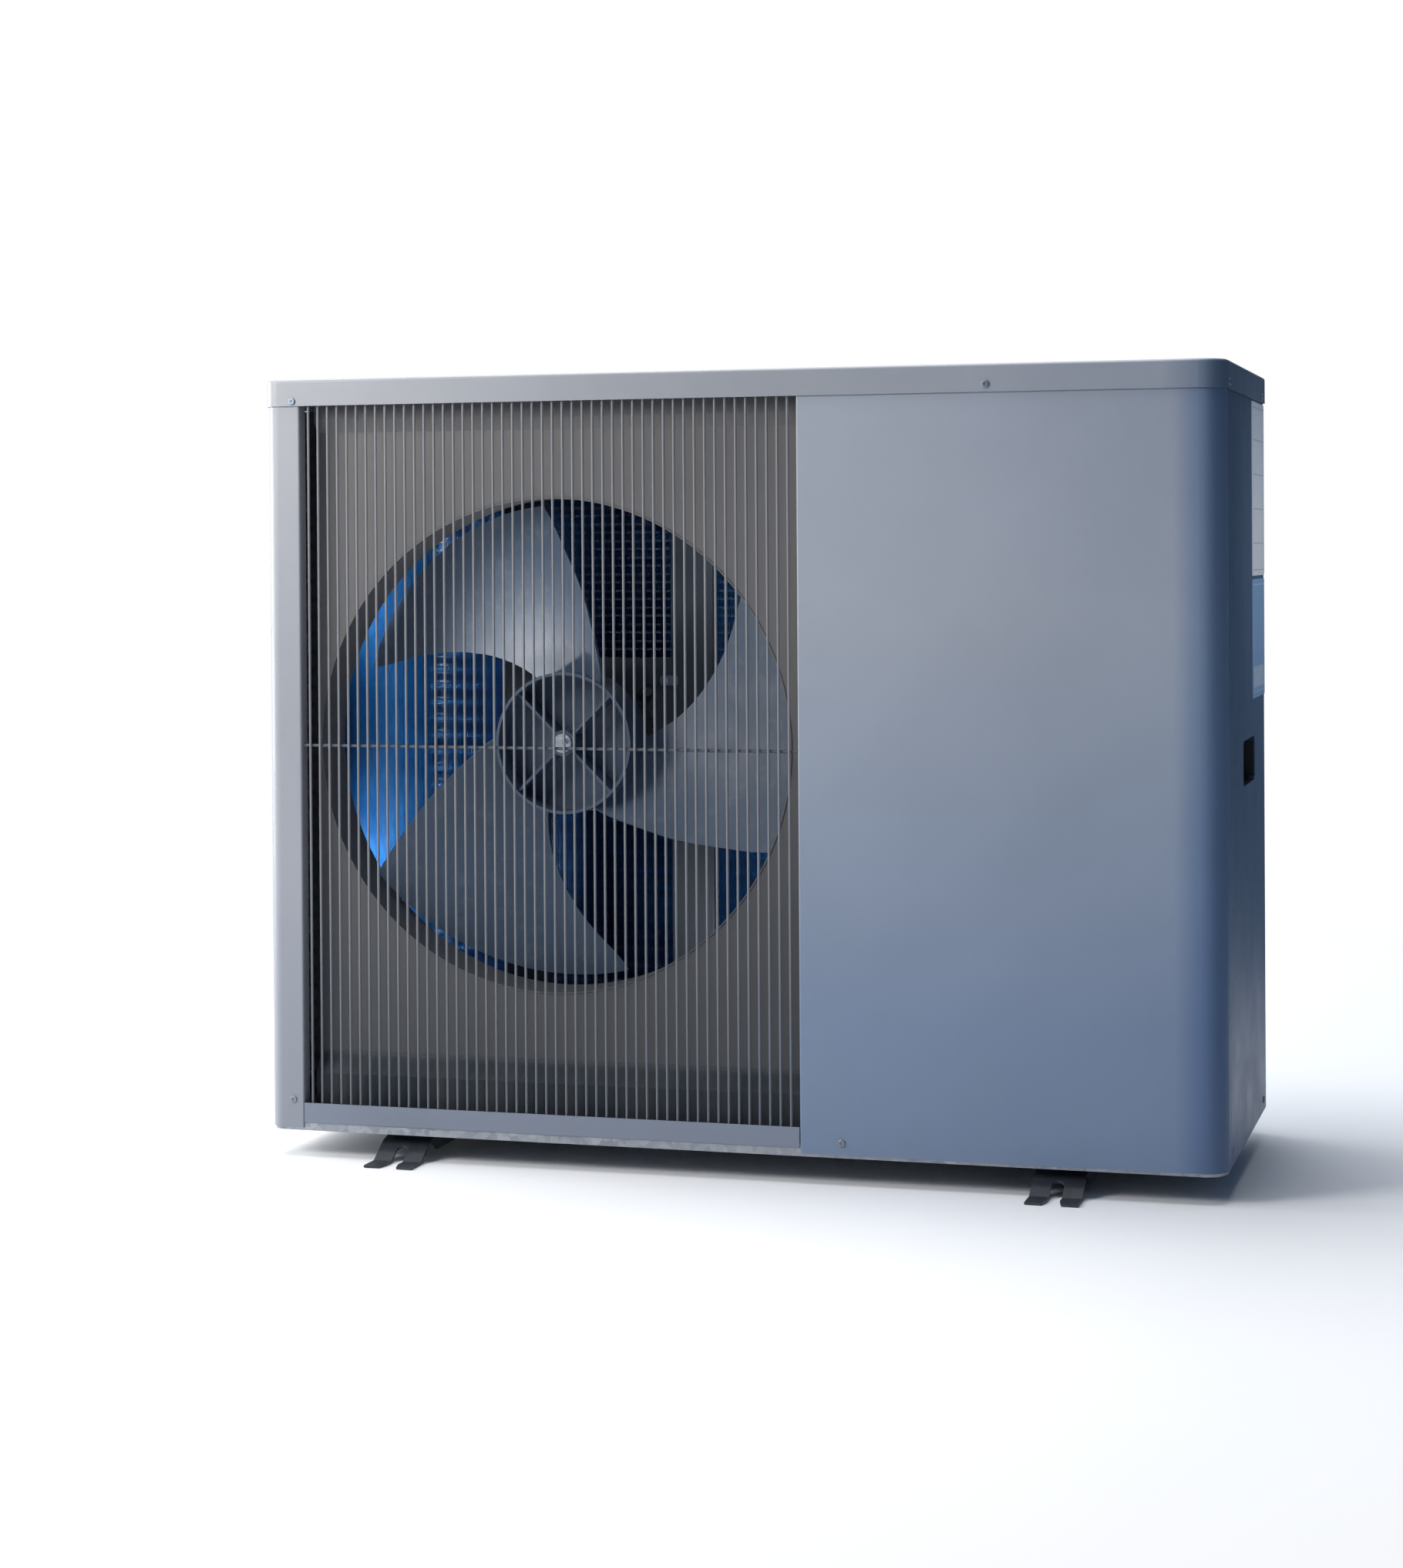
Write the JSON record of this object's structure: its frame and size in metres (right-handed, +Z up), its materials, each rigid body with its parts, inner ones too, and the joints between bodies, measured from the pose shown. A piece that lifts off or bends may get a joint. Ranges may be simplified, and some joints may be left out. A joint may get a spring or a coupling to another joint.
{
  "type": "air source heat pump unit",
  "caption": "Box-shaped outdoor heat pump with a front wire grille over a recessed axial fan, smooth service panel, L-shaped finned coil, notched foot rails and rear water unions.",
  "frame": {"origin": "on the ground under the middle of the unit (bottom centre of its box)", "axes": "+X to the right seen from the front, +Y from the front to the back, +Z up"},
  "size_m": [1.1184, 0.502, 0.905],
  "materials": {
    "casing_paint": "smooth grey-blue polyester powder coat, satin",
    "lid_paint": "light grey polyester powder coat, satin",
    "grille_paint": "grey powder coated wire",
    "inner_paint": "grey coated sheet, dull",
    "foot_black": "black enamel",
    "galvanised": "galvanised sheet with fine spangle",
    "fastener": "zinc plated",
    "fan_plastic": "dark blue-grey moulded plastic",
    "motor_paint": "black dip coat",
    "iron_core": "laminated core",
    "bright_steel": "ground steel",
    "fin_blue": "blue hydrophilic coated fin stock",
    "copper": "drawn copper",
    "compressor_black": "black baked enamel",
    "rubber": "moulded rubber",
    "black_plastic": "moulded black plastic",
    "pvc_grey": "moulded grey PVC",
    "titanium": "drawn titanium",
    "board": "solder resist",
    "component": "component cases",
    "label_white": "blank white label film",
    "label_blue": "blank tinted label film",
    "alu": "extruded"
  },
  "bodies": {
    "casing": {"base_pan": "galvanised", "foot_rail_left": "foot_black", "foot_rail_right": "foot_black", "foot_bolts": "fastener", "top_cover": "lid_paint", "left_corner_post": "lid_paint", "rear_left_post": "lid_paint", "bottom_front_rail": "casing_paint", "front_service_panel": "casing_paint", "right_side_panel": "casing_paint", "hand_hold": "black_plastic", "rear_panel": "casing_paint", "partition_panel": "galvanised", "fan_orifice_panel": "inner_paint", "fan_shroud_ring": "inner_paint", "front_grille": "grille_paint", "rear_coil_guard": "grille_paint", "side_coil_guard": "grille_paint", "rating_plate": "label_white", "info_label": "label_blue", "casing_screws": "fastener", "motor_housing": "motor_paint", "motor_end_cap": "motor_paint", "motor_bearings": "bright_steel", "motor_stator": "iron_core", "motor_bracket": "galvanised", "motor_screws": "fastener", "motor_cable_clip": "bright_steel", "evaporator_fins_back": "fin_blue", "evaporator_fins_corner": "fin_blue", "evaporator_fins_side": "fin_blue", "coil_end_plates": "galvanised", "evaporator_bends": "copper", "compressor": "compressor_black", "compressor_grommets": "rubber", "compressor_bolts": "fastener", "compressor_terminal_cover": "black_plastic", "accumulator": "compressor_black", "four_way_valve": "copper", "expansion_valve": "bright_steel", "filter_drier": "copper", "refrigerant_pipes": "copper", "exchanger_shell": "pvc_grey", "exchanger_coil": "titanium", "union_bodies": "pvc_grey", "union_tailpieces": "pvc_grey", "flow_switch": "black_plastic", "drain_spout": "black_plastic", "cable_glands": "black_plastic", "control_box": "galvanised", "control_box_cover": "galvanised", "circuit_board": "board", "board_components": "component", "heat_sink": "alu"},
    "fan": {"fan_impeller": "fan_plastic", "motor_shaft": "bright_steel", "fan_nut": "bright_steel", "motor_rotor": "iron_core"},
    "inlet_nut": {"inlet_union_nut": "pvc_grey"},
    "outlet_nut": {"outlet_union_nut": "pvc_grey"}
  },
  "joints": [
    {"name": "fan_spin", "type": "hinge", "parent": "casing", "child": "fan", "pos_m": [-0.218, -0.1, 0.48], "axis": [0, -1, 0], "continuous": true},
    {"name": "inlet_nut_turn", "type": "hinge", "parent": "casing", "child": "inlet_nut", "pos_m": [0.44, 0.222, 0.15], "axis": [0, 1, 0], "continuous": true},
    {"name": "outlet_nut_turn", "type": "hinge", "parent": "casing", "child": "outlet_nut", "pos_m": [0.44, 0.222, 0.52], "axis": [0, 1, 0], "continuous": true}
  ]
}
